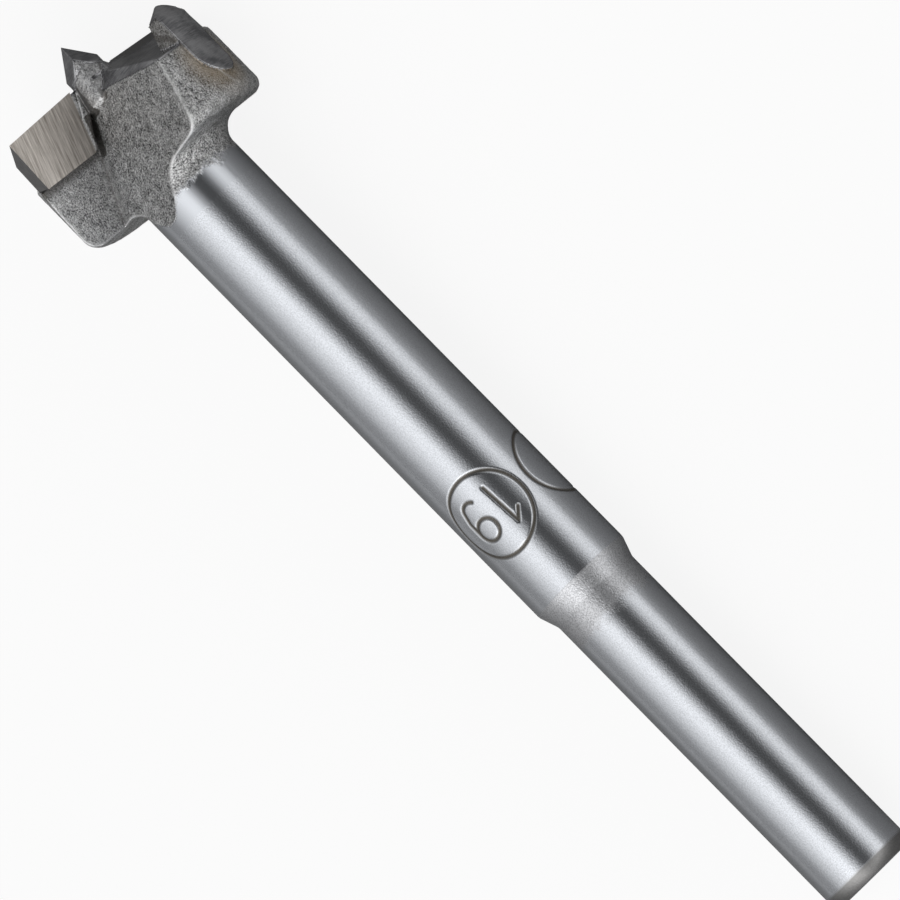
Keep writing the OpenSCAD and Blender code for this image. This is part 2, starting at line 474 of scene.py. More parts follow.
@dataclass(frozen=True)
class ForgedSteel:
    """Tool steel as the die and the blasting left it, with ground faces.

    The skin is a dull grey with pebbled grain and dark pits, with a painted
    highlight on its ridges and painted shade in its creases. The grinding wheel
    left the top, the point and the outsides of the spurs darker and smooth, with
    fine lines. Near the spurs' feet the heat of the braze turned it straw brown.
    """

    skin_colour: str = "#f4f4f4"
    pit_colour: str = "#505050"
    ground_colour: str = "#bcbcbe"
    streak_colour: str = "#808083"
    braze_colour: str = "#b8a68c"
    polish_colour: str = "#cbced3"
    # The next two colours and the ridge and crease spans set a painted highlight on
    # ridges and painted shade in creases.
    painted_highlight_colour: str = "#f0f0f0"
    painted_shade_colour: str = "#5f5c58"
    skin_roughness: float = 0.4
    ground_roughness: float = 0.24
    polish_roughness: float = 0.17
    ridge_span: Span = (0.1, 1.0)
    ridge_most: float = 0.9
    crease_span: Span = (-0.12, -1.0)
    crease_most: float = 0.85
    grain_mm: float = 0.14
    grain_depth: float = 0.2
    patch_mm: float = 0.7
    patch_share: float = 0.35
    pit_span: Span = (0.50, 0.86)
    line_mm: float = 0.09
    line_depth: float = 0.012
    line_share: float = 0.7
    line_stretch: tuple[float, float, float] = (0.25, 0.25, 2.4)
    cloud_mm: float = 1.8
    streak_span: Span = (0.65, 1.05)

    def material(self, lie: Lie) -> bpy.types.Material:
        """Makes the material.

        Args:
            lie: Gives the upright coordinates.

        Returns:
            The forged steel.
        """
        made = new_metal("forged_tool_steel")
        tree = made.node_tree
        place = lie.coordinates(tree)
        ground, braze, polish, bend = (
            add_node(tree, "ShaderNodeAttribute", attribute_name=name).outputs["Fac"]
            for name in HEAD_MARKS
        )
        # Painted highlight on ridges and painted shade in creases, from the bend mark.
        ridge_highlight, crease_shade = (
            add_node(
                tree,
                "ShaderNodeMapRange",
                {"Value": bend, "From Min": start, "From Max": end, "To Max": most},
            ).outputs[0]
            for (start, end), most in (
                (self.ridge_span, self.ridge_most),
                (self.crease_span, self.crease_most),
            )
        )
        along = add_node(
            tree, "ShaderNodeMapping", {"Vector": place, "Scale": self.line_stretch}
        ).outputs[0]
        grain, patches, lines, clouds = (
            add_node(
                tree,
                "ShaderNodeTexNoise",
                {"Vector": spot, "Scale": 1 / size, "Detail": detail, "Roughness": fine},
            ).outputs["Fac"]
            for spot, size, detail, fine in (
                (place, self.grain_mm, 3.0, 0.6),
                (place, self.patch_mm, 2.0, 0.5),
                (along, self.line_mm * self.line_stretch[2], 2.0, 0.5),
                (place, self.cloud_mm, 1.0, 0.5),
            )
        )
        skin = self.mottled(
            tree,
            (patches, self.patch_share, grain),
            self.pit_span,
            (self.pit_colour, self.skin_colour),
        )
        wheel = self.mottled(
            tree,
            (lines, self.line_share, clouds),
            self.streak_span,
            (self.streak_colour, self.ground_colour),
        )
        tone = skin
        for share, colour in (
            (braze, linear(self.braze_colour)),
            (ridge_highlight, linear(self.painted_highlight_colour)),
            (crease_shade, linear(self.painted_shade_colour)),
            (ground, wheel),
            (polish, linear(self.polish_colour)),
        ):
            tone = add_node(
                tree,
                "ShaderNodeMix",
                {"Factor": share, MIX_FIRST: tone, MIX_SECOND: colour},
                data_type="RGBA",
            ).outputs[MIX_RESULT]
        dull = add_node(
            tree,
            "ShaderNodeMapRange",
            {
                "Value": ground,
                "To Min": self.skin_roughness,
                "To Max": self.ground_roughness,
            },
        )
        rough = add_node(
            tree,
            "ShaderNodeMix",
            {"Factor": polish, "A": dull.outputs[0], "B": self.polish_roughness},
        )
        worked = add_node(
            tree, "ShaderNodeMath", {0: ground, 1: polish}, operation="MAXIMUM"
        )
        forged = add_node(
            tree, "ShaderNodeMath", {0: 1.0, 1: worked.outputs[0]}, operation="SUBTRACT"
        )
        skin_height = add_node(
            tree,
            "ShaderNodeMath",
            {0: grain, 1: forged.outputs[0]},
            operation="MULTIPLY",
        )
        grained = add_node(
            tree,
            "ShaderNodeBump",
            {
                "Strength": 0.65,
                "Distance": self.grain_depth * MM,
                "Height": skin_height.outputs[0],
            },
        )
        lined = add_node(
            tree,
            "ShaderNodeBump",
            {
                "Strength": 0.25,
                "Distance": self.line_depth * MM,
                "Height": lines,
                "Normal": grained.outputs[0],
            },
        )
        feed(
            tree,
            tree.nodes["Principled BSDF"],
            {
                "Base Color": tone,
                "Roughness": rough.outputs[0],
                "Normal": lined.outputs[0],
            },
        )
        return made

    @staticmethod
    def mottled(
        tree: bpy.types.NodeTree,
        patterns: tuple[bpy.types.NodeSocket, float, bpy.types.NodeSocket],
        span: Span,
        colours: tuple[str, str],
    ) -> bpy.types.NodeSocket:
        """Mottles a surface with two patterns laid over each other.

        Args:
            tree: The material's nodes.
            patterns: One pattern, its share, and the pattern it is added to.
            span: Values of the sum that get the first and the second colour.
            colours: The two colours.

        Returns:
            The mottled colour.
        """
        both = add_node(
            tree, "ShaderNodeMath", dict(enumerate(patterns)), operation="MULTIPLY_ADD"
        )
        share = add_node(
            tree,
            "ShaderNodeMapRange",
            {"Value": both.outputs[0], "From Min": span[0], "From Max": span[1]},
        )
        mixed = add_node(
            tree,
            "ShaderNodeMix",
            {
                "Factor": share.outputs[0],
                MIX_FIRST: linear(colours[0]),
                MIX_SECOND: linear(colours[1]),
            },
            data_type="RGBA",
        )
        return mixed.outputs[MIX_RESULT]


@dataclass(frozen=True)
class BladeFrame:
    """The front face of a blade: across its grinding lines, along, and out."""

    wing: Wing
    blade_turn: float = 31.0
    edge_slope: float = 3.0
    rake_angle: float = 19.0
    line_slant: float = 15.0

    @property
    def matrix(self) -> Matrix:
        """Turn from the face to the upright frame."""
        turn = Matrix.Rotation(math.radians(self.wing.value + self.blade_turn), 3, "Z")
        slope = Matrix.Rotation(math.radians(self.edge_slope), 3, "Y")
        rake = Matrix.Rotation(math.radians(-self.rake_angle), 3, "X")
        slant = Matrix.Rotation(math.radians(-self.line_slant), 3, "Y")
        return turn @ slope @ rake @ slant

    @property
    def front(self) -> Vector:
        """Direction that the face looks in."""
        return self.matrix @ Vector((0, 1, 0))


@dataclass(frozen=True)
class GroundCarbide:
    """Tungsten carbide, ground with a diamond wheel.

    A warm grey with straight parallel lines across the front face, and nearly
    black on the faces that look to the side.
    """

    name: str
    face: BladeFrame
    colour: str = "#d8d2cb"
    dark_colour: str = "#8d867f"
    roughness: float = 0.42
    line_mm: float = 0.15
    line_depth: float = 0.03
    line_stretch: tuple[float, float, float] = (1.0, 1.0, 0.05)
    line_span: Span = (0.32, 0.68)

    def material(self, lie: Lie) -> bpy.types.Material:
        """Makes the material.

        Args:
            lie: Gives the upright coordinates.

        Returns:
            The carbide.
        """
        made = new_metal(self.name)
        tree = made.node_tree
        along = add_node(
            tree,
            "ShaderNodeMapping",
            {
                "Vector": lie.coordinates(tree),
                "Rotation": self.face.matrix.to_euler(),
            },
            vector_type="TEXTURE",
        )
        stretched = add_node(
            tree,
            "ShaderNodeMapping",
            {"Vector": along.outputs[0], "Scale": self.line_stretch},
        )
        lines = add_node(
            tree,
            "ShaderNodeTexNoise",
            {
                "Vector": stretched.outputs[0],
                "Scale": 1 / self.line_mm,
                "Detail": 4.0,
                "Roughness": 0.7,
            },
        )
        low, high = self.line_span
        share = add_node(
            tree,
            "ShaderNodeMapRange",
            {"Value": lines.outputs["Fac"], "From Min": low, "From Max": high},
        )
        tone = add_node(
            tree,
            "ShaderNodeMix",
            {
                "Factor": share.outputs[0],
                MIX_FIRST: linear(self.dark_colour),
                MIX_SECOND: linear(self.colour),
            },
            data_type="RGBA",
        )
        lined = add_node(
            tree,
            "ShaderNodeBump",
            {
                "Strength": 0.5,
                "Distance": self.line_depth * MM,
                "Height": lines.outputs["Fac"],
            },
        )
        feed(
            tree,
            tree.nodes["Principled BSDF"],
            {
                "Base Color": tone.outputs[MIX_RESULT],
                "Roughness": self.roughness,
                "Normal": lined.outputs[0],
            },
        )
        return made


@dataclass(frozen=True)
class FluteFace:
    """A flat face of the flute beside the wing at turn 0.

    Its turn is the way it looks about the axis, its slope is measured from
    upright, and its offset is its distance from the axis at the cutting edge.
    """

    turn: float
    slope: float
    offset: float

    def out(self, height: float) -> float:
        """Distance of the face from the axis at a height."""
        return self.offset + (EDGE_Z - height) * math.tan(math.radians(self.slope))

    def ways(self, wing_turn: float = 0.0) -> tuple[Vector, Vector]:
        """Level directions out of the face and along it.

        Args:
            wing_turn: Turn of the wing in degrees.

        Returns:
            The two unit vectors.
        """
        look = math.radians(wing_turn + self.turn)
        out = Vector((math.cos(look), math.sin(look), 0))
        return out, Vector((-math.sin(look), math.cos(look), 0))

    def gap(self, own: Vector) -> float:
        """Level distance of a point in front of the face."""
        return own.dot(self.ways()[0]) - self.out(own.z)


@dataclass(frozen=True)
class HeadSurface:
    """Sizes of the head, and how each place on its surface was worked.

    A point called own is turned so that its wing stands at turn 0.
    """

    polish_z: float = 74.6
    polish_half: float = 0.45
    polish_near: float = 0.035
    polish_waves: tuple[Span, ...] = ((0.5, 1.1), (0.4, 0.4))
    tip_z: float = 90.0
    blade_turn: float = BladeFrame.blade_turn
    edge_slope: float = BladeFrame.edge_slope
    rake_angle: float = BladeFrame.rake_angle
    relief_angle: float = 25.0
    face_near: float = 0.13
    facet_slope: float = 30.0
    facet_turn: float = 34.0
    neck_r: float = 1.65
    flare_r: float = 1.95
    flare_z: float = 84.6
    scored_gap: float = 0.1
    back: FluteFace = FluteFace(222.0, 15.4, 0.75)
    wall: FluteFace = FluteFace(212.0, 19.2, 0.7)
    wall_near: float = 0.15
    wall_back: float = -0.08
    wall_front: float = -1.1
    # Painted shade on the walls beside the blades in this span, and a painted highlight
    # below it.
    wall_dark_z: Span = (81.6, 84.3)
    wall_highlight: float = 0.45
    recess_z: float = 84.75
    recess_start: float = 1.9
    recess_fall: float = 0.336
    recess_rise: float = 1.2
    recess_reach: Span = (0.2, 8.6)
    recess_border: float = 0.02
    recess_near: float = 0.2
    lip_r: float = 2.3
    lip_fall: float = 0.228
    lip_w: float = 1.2
    # The lips get a painted highlight, and painted shade nearer the axis than this width.
    lip_shade_w: float = 0.4
    lip_front: Span = (-0.5, 0.0)
    lip_z: Span = (81.5, 86.8)
    lip_highlight: float = 0.6
    seat_depth: float = 1.2
    seat_near: float = 0.15
    seat_start: float = 2.0
    # Painted shadow on the seat floor under each blade's foot.
    blade_foot_z: float = 82.2
    blade_shade_l: float = 1.2
    # Painted shade round the neck's foot and on its flank.
    foot_z: Span = (84.2, 85.3)
    foot_gap: Span = (-0.04, 0.22)
    corner_z: Span = (84.05, 87.1)
    corner_gap: float = 0.15
    corner_turn: Span = (-5.0, 40.0)
    spur_turn: float = 32.4
    spur_w: float = 3.7
    spur_r: float = 9.3
    spur_face_r: float = 9.38
    spur_back_r: float = 7.6
    spur_tip_z: float = 86.2
    spur_bevel_h: float = 2.5
    # Painted shade on the spurs' inner sides.
    spur_shade_r: float = 6.5
    spur_shade_h: float = 0.12
    spur_shade: float = -0.75
    tint_z: float = 80.2
    tint_reach: Span = (1.2, 4.2)
    tint_most: float = 0.75

    @staticmethod
    def turned(spot: Vector, wing: Wing) -> Vector:
        """The point with the wing brought to turn 0."""
        return Matrix.Rotation(-math.radians(wing.value), 3, "Z") @ spot

    def above_top(self, own: Vector) -> float:
        """Finds how far a point lies above the ground top of the wing.

        Args:
            own: The point, with the wing at turn 0.

        Returns:
            The distance square to the top.
        """
        turn = Matrix.Rotation(math.radians(self.blade_turn), 3, "Z")
        slope = Matrix.Rotation(math.radians(self.edge_slope), 3, "Y")
        roll = Matrix.Rotation(math.radians(self.relief_angle), 3, "X")
        normal = turn @ slope @ roll @ Vector((0, 0, 1))
        return normal.dot(own - Vector((0, 0, EDGE_Z)))

    def facets(self) -> list[Vector]:
        """Normals of the four ground sides of the point."""
        level = math.cos(math.radians(self.facet_slope))
        rise = math.sin(math.radians(self.facet_slope))
        looks = [
            math.radians(wing.value + side * self.facet_turn)
            for wing in Wing
            for side in (-1, 1)
        ]
        return [Vector((math.cos(a) * level, math.sin(a) * level, rise)) for a in looks]

    def is_ground(self, spot: Vector) -> bool:
        """Says if a point of the surface was ground after the forging.

        Args:
            spot: The point, in upright millimetres.

        Returns:
            True on the tops, the recesses, the point and the spurs.
        """
        radius = math.hypot(spot.x, spot.y)
        near = self.face_near
        half_turn = math.degrees(self.spur_w / 2 / self.spur_r)
        for wing in Wing:
            own = self.turned(spot, wing)
            on_wing = radius > self.neck_r and own.x > 0
            if on_wing and abs(self.above_top(own)) < near:
                return True
            if radius > self.neck_r + near and self.in_recess(own):
                return True
            turn = math.degrees(math.atan2(own.y, own.x))
            if abs(turn + self.spur_turn) < half_turn:
                is_tip = spot.z > self.spur_tip_z - self.spur_bevel_h
                if radius > (self.spur_back_r if is_tip else self.spur_face_r):
                    return True
        off_tip = spot - Vector((0, 0, self.tip_z))
        on_facet = any(abs(facet.dot(off_tip)) < near for facet in self.facets())
        return on_facet and radius < self.neck_r + near

    def recess_line(self, reach: float) -> Span:
        """Finds the lower border of the recess on the back face.

        Args:
            reach: Distance along the back face from the axis.

        Returns:
            Its distance out from the axis, and its height.
        """
        low = self.recess_z - (reach - self.recess_start) * self.recess_fall
        return self.back.out(low), low

    def in_recess(self, own: Vector) -> bool:
        """Says if a point lies on the floor of the recess.

        Args:
            own: The point, with the wing at turn 0.

        Returns:
            True on the floor.
        """
        out_way, along = self.back.ways()
        out, reach = own.dot(out_way), own.dot(along)
        line_out, line_z = self.recess_line(reach)
        floor = line_z + (line_out - out) * self.recess_rise
        inside = within(reach, self.recess_reach) and out < line_out - self.recess_border
        return inside and abs(own.z - floor) < self.recess_near

    def neck_gap(self, spot: Vector) -> float:
        """Finds how far a point lies outside the side of the turned neck.

        Args:
            spot: The point, in upright millimetres.

        Returns:
            The level distance.
        """
        share = (EDGE_Z - spot.z) / (EDGE_Z - self.flare_z)
        flare = (self.flare_r - self.neck_r) * max(0.0, min(1.0, share))
        return math.hypot(spot.x, spot.y) - self.neck_r - flare

    def is_scored(self, spot: Vector) -> bool:
        """Says if a point lies on the turned neck, which has no forged grain."""
        radius = math.hypot(spot.x, spot.y)
        return radius < self.flare_r + self.scored_gap and spot.z > self.flare_z

    def blade_place(self, own: Vector) -> Span:
        """Places a point by the blade of its wing.

        Args:
            own: The point, with the wing at turn 0.

        Returns:
            Its distance from the axis along the blade, and its distance in
            front of the blade's face.
        """
        seat = Matrix.Rotation(-math.radians(self.blade_turn), 3, "Z") @ own
        lean = math.radians(self.rake_angle)
        rise = seat.z - EDGE_Z
        return seat.x, seat.y * math.cos(lean) - rise * math.sin(lean)

    def on_seat(self, own: Vector) -> bool:
        """Says if a point lies on the floor of the seat below the blade."""
        along, front = self.blade_place(own)
        return abs(front + self.seat_depth) < self.seat_near and along > self.seat_start

    def painted_light_limits(self, spot: Vector) -> Span:
        """Sets limits to the mark of ridges and creases at a point.

        Painted shade darkens the upper walls beside the blades, the seat floors
        up to the blades' feet, round the neck's foot, the neck's flank and the
        spurs' inner sides. The lips of the blade seats get a painted highlight on
        their outer part and painted shade nearer the axis, and the lower walls a
        painted highlight.

        Args:
            spot: The point, in upright millimetres.

        Returns:
            The least and the greatest mark.
        """
        full_shade = (CREASE, CREASE)
        height = spot.z
        neck = self.neck_gap(spot)
        dark_low, dark_high = self.wall_dark_z
        for wing in Wing:
            own = self.turned(spot, wing)
            turn = math.degrees(math.atan2(own.y, own.x))
            along, front = self.blade_place(own)
            lip = along - self.lip_r - (EDGE_Z - height) * self.lip_fall
            by_lip = abs(lip) < self.lip_w and within(front, self.lip_front)
            # Painted highlight on the lip's outer part, painted shade nearer the axis.
            if by_lip and within(height, self.lip_z):
                return (self.lip_highlight,) * 2 if lip > -self.lip_shade_w else full_shade
            back = self.back.gap(own)
            # Painted shade on the upper wall, and a painted highlight below it.
            on_wall = abs(self.wall.gap(own)) < self.wall_near and back < self.wall_back
            if on_wall and front > self.wall_front and height < dark_high:
                return full_shade if height > dark_low else (self.wall_highlight,) * 2
            # Painted shadow on the seat floor, darkest at the blade's foot.
            if self.on_seat(own) and height < dark_high:
                start = self.blade_foot_z - self.blade_shade_l
                shade = smooth_step(start, self.blade_foot_z, height)
                return CREASE, RIDGE + (CREASE - RIDGE) * shade
            # Painted shade round the neck's foot.
            by_back = abs(back) < self.foot_gap[1] and within(neck, self.foot_gap)
            if by_back and within(height, self.foot_z):
                return full_shade
            # Painted shade on the neck's flank in the corner.
            in_corner = neck < self.corner_gap and within(turn, self.corner_turn)
            if in_corner and within(height, self.corner_z):
                return full_shade
            # Painted shade on the spur's inner side.
            by_spur = math.hypot(spot.x, spot.y) > self.spur_shade_r and own.x > 0
            if by_spur and self.above_top(own) > self.spur_shade_h:
                return CREASE, self.spur_shade
        return CREASE, RIDGE

    def heat_tint(self, spot: Vector) -> float:
        """Finds the share of brown, which is strong by the feet of the spurs.

        Args:
            spot: The point, in upright millimetres.

        Returns:
            The share.
        """
        most = 0.0
        for wing in Wing:
            turn = math.radians(wing.value - self.spur_turn)
            out = Vector((math.cos(turn), math.sin(turn), 0)) * self.spur_r
            gap = (spot - out - Vector((0, 0, self.tint_z))).length
            most = max(most, self.tint_most * (1 - smooth_step(*self.tint_reach, gap)))
        return most

    def polish_share(self, spot: Vector) -> float:
        """Finds the share of polish, which is full on the turned body.

        Args:
            spot: The point, in upright millimetres.

        Returns:
            The share, which ends in a wavy border below the wings.
        """
        if abs(math.hypot(spot.x, spot.y) - BODY_R) > self.polish_near:
            return 0.0
        wave = sum(rise * noise.noise(spot / size) for rise, size in self.polish_waves)
        low, high = self.polish_z - self.polish_half, self.polish_z + self.polish_half
        return 1 - smooth_step(low, high, spot.z + wave)


@dataclass
class ForgedHead:
    """The head: wings, point and spurs, with the forging's rounded edges.

    The form is the CAD solid above the body, with a whole neck and the ground
    recesses beside it, rebuilt as an even mesh. Its forged faces are rounded
    and pebbled, and its ground faces stay flat.
    """

    lie: Lie
    surface: HeadSurface = HeadSurface()
    octree_depth: int = 8
    octree_fill: float = 0.62
    floor_near: float = 0.01
    rounding: int = 7
    sharp_rounding: int = 2
    sharp_r: float = 2.8
    sharp_z: float = 84.2
    full_bend: float = 0.010
    pebble: float = 0.022
    pebble_mm: float = 0.36
    pebble_layers: tuple[Span, ...] = ((1.0, 1.0), (0.6, 2.1))
    seat_pebble: float = 0.4
    neck_ground: float = 0.3
    seat_ground: float = 0.2
    neck_steps: int = 96
    neck_underside: tuple[Span, ...] = ((0.0, 84.0), (1.0, 84.05), (1.7, 84.25))
    recess_depth: float = 1.7
    recess_front: float = 1.0
    recess_top: float = 4.0

    def recesses(self) -> bpy.types.Object:
        """Makes the cutter of the two ground recesses beside the neck's foot."""
        face = self.surface
        form = bmesh.new()
        for wing in Wing:
            out_way, along = face.back.ways(wing.value)
            corners = []
            for reach in face.recess_reach:
                out, low = face.recess_line(reach)
                for push, lift in (
                    (self.recess_front, -self.recess_front * face.recess_rise),
                    (self.recess_front, self.recess_top),
                    (-self.recess_depth, self.recess_top),
                    (-self.recess_depth, self.recess_depth * face.recess_rise),
                ):
                    spot = along * reach + out_way * (out + push)
                    corners.append(form.verts.new(spot + Vector((0, 0, low + lift))))
            bmesh.ops.convex_hull(form, input=corners)
        bmesh.ops.recalc_face_normals(form, faces=form.faces)
        return place_object("recess_cutter", form)

    def neck(self) -> bpy.types.Object:
        """Makes the turned neck, whole all round, with its four ground sides."""
        face = self.surface
        outline = (
            *self.neck_underside,
            (face.flare_r, face.flare_z),
            (face.neck_r, EDGE_Z),
            (face.neck_r, face.tip_z),
            (0.0, face.tip_z),
        )
        form = lathe(outline, self.neck_steps)
        for facet in face.facets():
            self.cut(form, face.tip_z, -facet)
        bmesh.ops.recalc_face_normals(form, faces=form.faces)
        return place_object("neck_blank", form)

    @staticmethod
    def cut(form: bmesh.types.BMesh, height: float, keep: Vector) -> None:
        """Cuts a form flat and closes it.

        Args:
            form: The form.
            height: Height at which the cut crosses the axis.
            keep: Direction from the cut to the side that stays.
        """
        bmesh.ops.bisect_plane(
            form,
            geom=[*form.verts, *form.edges, *form.faces],
            plane_co=(0, 0, height),
            plane_no=keep,
            clear_inner=True,
        )
        rim = [edge for edge in form.edges if edge.is_boundary]
        if rim:
            bmesh.ops.edgeloop_fill(form, edges=rim)

    def blank(self) -> bpy.types.Mesh:
        """Cuts the head off the CAD solid and rebuilds it in even cells."""
        form = bmesh.new()
        form.from_mesh(bpy.data.objects[STEEL_NODE].data)
        bmesh.ops.transform(form, matrix=self.lie.matrix.inverted(), verts=form.verts)
        bmesh.ops.remove_doubles(form, verts=form.verts, dist=MERGE_GAP)
        self.cut(form, HEAD_Z, Vector((0, 0, 1)))
        bmesh.ops.recalc_face_normals(form, faces=form.faces)
        holder = place_object("head_blank", form)
        cutter = self.recesses()
        neck = self.neck()
        for other, way in ((cutter, "DIFFERENCE"), (neck, "UNION")):
            step = holder.modifiers.new(other.name, "BOOLEAN")
            step.operation = way
            step.solver = "EXACT"
            step.object = other
        remesh = holder.modifiers.new("cells", "REMESH")
        remesh.mode = "SHARP"
        remesh.octree_depth = self.octree_depth
        remesh.scale = self.octree_fill
        graph = bpy.context.evaluated_depsgraph_get()
        made = bpy.data.meshes.new_from_object(holder.evaluated_get(graph))
        for used in (holder, cutter, neck):
            mesh = used.data
            bpy.data.objects.remove(used)
            bpy.data.meshes.remove(mesh)
        return made

    def build(self, finish: bpy.types.Material) -> bpy.types.Object:
        """Makes the head.

        Args:
            finish: The forged steel.

        Returns:
            The piece.
        """
        mesh = self.blank()
        form = bmesh.new()
        form.from_mesh(mesh)
        bpy.data.meshes.remove(mesh)
        forged = self.mark_work(form)
        self.round_off(form, forged)
        self.mark_bend(form)
        ground = form.verts.layers.float["ground"]
        for vert in forged:
            lump = sum(
                share * noise.noise(vert.co / self.pebble_mm * fineness)
                for share, fineness in self.pebble_layers
            )
            calm = self.seat_pebble if vert[ground] > 0 else 1.0
            vert.co += vert.normal * lump * self.pebble * calm
        top = HEAD_Z + self.floor_near
        floor = [side for side in form.faces if side.calc_center_median().z < top]
        bmesh.ops.delete(form, geom=floor, context="FACES")
        return self.lie.piece("head", form, finish)

    def mark_work(self, form: bmesh.types.BMesh) -> list[bmesh.types.BMVert]:
        """Marks how each point was worked, and trues up the turned body.

        Args:
            form: The even mesh of the head.

        Returns:
            The points that are as forged.
        """
        face = self.surface
        for name in HEAD_MARKS:
            form.verts.layers.float.new(name)
        layers = form.verts.layers.float
        ground, braze, polish = layers["ground"], layers["braze"], layers["polish"]
        forged = []
        for vert in form.verts:
            shine = face.polish_share(vert.co)
            if face.is_ground(vert.co):
                vert[ground] = 1.0
            elif shine > 0:
                vert[polish] = shine
                share = BODY_R / math.hypot(vert.co.x, vert.co.y)
                vert.co.x *= share
                vert.co.y *= share
            elif face.is_scored(vert.co):
                vert[ground] = self.neck_ground
            else:
                if any(face.on_seat(face.turned(vert.co, wing)) for wing in Wing):
                    vert[ground] = self.seat_ground
                vert[braze] = face.heat_tint(vert.co)
                forged.append(vert)
        return forged

    def round_off(
        self, form: bmesh.types.BMesh, forged: list[bmesh.types.BMVert]
    ) -> None:
        """Rounds the forged edges, and less so near the neck's foot.

        Args:
            form: The even mesh of the head.
            forged: The points that are as forged.
        """
        broad = [
            vert
            for vert in forged
            if math.hypot(vert.co.x, vert.co.y) > self.sharp_r
            or vert.co.z < self.sharp_z
        ]
        for turn in range(self.rounding):
            bmesh.ops.smooth_vert(
                form,
                verts=forged if turn < self.sharp_rounding else broad,
                factor=0.5,
                use_axis_x=True,
                use_axis_y=True,
                use_axis_z=True,
            )

    def mark_bend(self, form: bmesh.types.BMesh) -> None:
        """Marks ridges with up to 1 and creases with down to -1, for a painted highlight
        on ridges and painted shade in creases.

        Args:
            form: The rounded mesh of the head.
        """
        layer = form.verts.layers.float["bend"]
        form.normal_update()
        form.verts.index_update()
        rise = []
        for vert in form.verts:
            ring = [edge.other_vert(vert).co for edge in vert.link_edges]
            middle = sum(ring, Vector()) / len(ring)
            rise.append((vert.co - middle).dot(vert.normal))
        for vert in form.verts:
            ring = [rise[edge.other_vert(vert).index] for edge in vert.link_edges]
            even = (rise[vert.index] + sum(ring)) / (1 + len(ring))
            least, most = self.surface.painted_light_limits(vert.co)
            vert[layer] = max(least, min(most, even / self.full_bend))


@dataclass(frozen=True)
class Stroke:
    """One engraved line, as points right of and above the mark's middle."""

    points: tuple[Span, ...]

    def distance(self, right: float, up: float) -> float:
        """Finds the distance from a point to the line.

        Args:
            right: Place of the point to the right of the mark's middle.
            up: Place of the point above the mark's middle.

        Returns:
            The least distance.
        """
        spot = Vector((right, up))
        least = math.inf
        for start, end in zip(self.points, self.points[1:]):
            a, b = Vector(start), Vector(end)
            run = b - a
            share = max(0.0, min(1.0, (spot - a).dot(run) / run.length_squared))
            least = min(least, (spot - a - run * share).length)
        return least


def arc(
    middle: Span, radius: float, start: float, end: float, count: int
) -> tuple[Span, ...]:
    """Lays points on an arc.

    Args:
        middle: Centre of the arc.
        radius: Radius of the arc.
        start: Angle of the first point in degrees.
        end: Angle of the last point in degrees.
        count: Number of steps.

    Returns:
        The points in order.
    """
    steps = [math.radians(start + (end - start) * i / count) for i in range(count + 1)]
    return tuple(
        (middle[0] + radius * math.cos(a), middle[1] + radius * math.sin(a))
        for a in steps
    )


